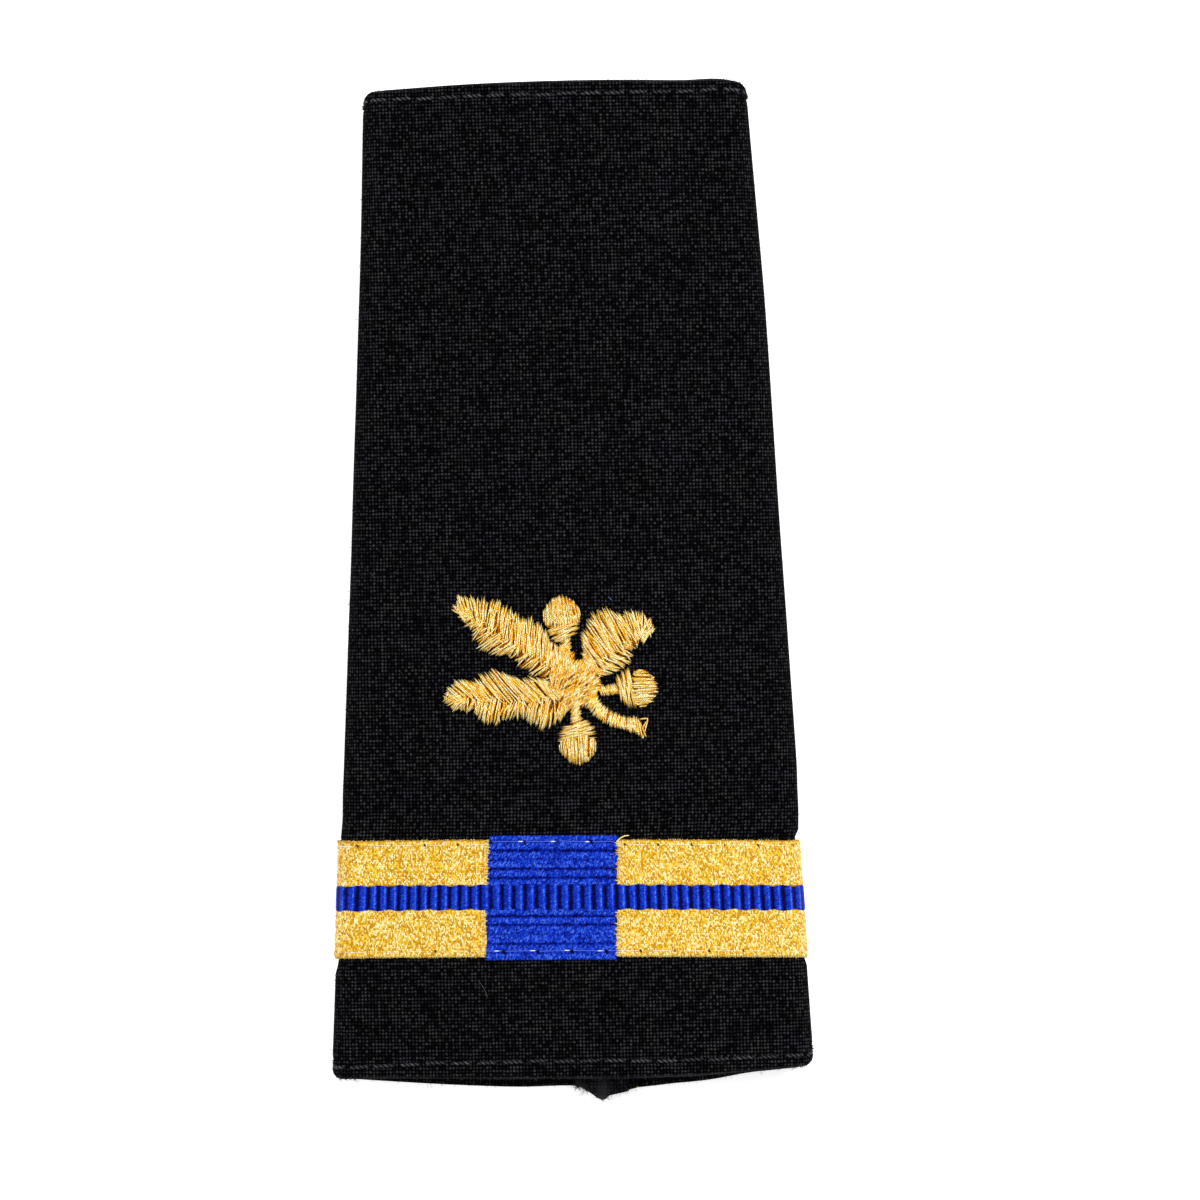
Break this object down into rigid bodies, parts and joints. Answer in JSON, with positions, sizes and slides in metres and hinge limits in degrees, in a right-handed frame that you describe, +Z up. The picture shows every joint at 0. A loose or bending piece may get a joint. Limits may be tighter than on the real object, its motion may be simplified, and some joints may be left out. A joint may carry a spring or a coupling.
{
  "type": "slip-on shoulder mark",
  "caption": "Tapered cloth tube, open at both ends, that slips over a shoulder strap, with a lace stripe round it and an embroidered oak sprig above.",
  "frame": {"origin": "on the surface that the mark lies on, under the middle of its outline", "axes": "+X to the right as it is worn and seen from the front, +Y along the sleeve towards its narrow mouth, +Z up out of the front"},
  "size_m": [0.0512, 0.1084, 0.009],
  "materials": {
    "cloth": "black plain weave, matt",
    "gold_lace": "woven metallic gold lace, glittering",
    "blue_ribbon": "royal blue ribbed ribbon, silky",
    "gold_thread": "satin-stitched metallic gold thread"
  },
  "bodies": {
    "root": {"sleeve": "cloth", "lace_left": "gold_lace", "lace_right": "gold_lace", "blue_break": "blue_ribbon", "blue_line": "blue_ribbon", "leaf_upper": "gold_thread", "leaf_lower": "gold_thread", "leaf_right": "gold_thread", "stem": "gold_thread", "twig_top": "gold_thread", "twig_right": "gold_thread", "twig_bottom": "gold_thread", "cup_top": "gold_thread", "cup_right": "gold_thread", "cup_bottom": "gold_thread", "nut_top": "gold_thread", "nut_right": "gold_thread", "nut_bottom": "gold_thread"}
  },
  "joints": []
}
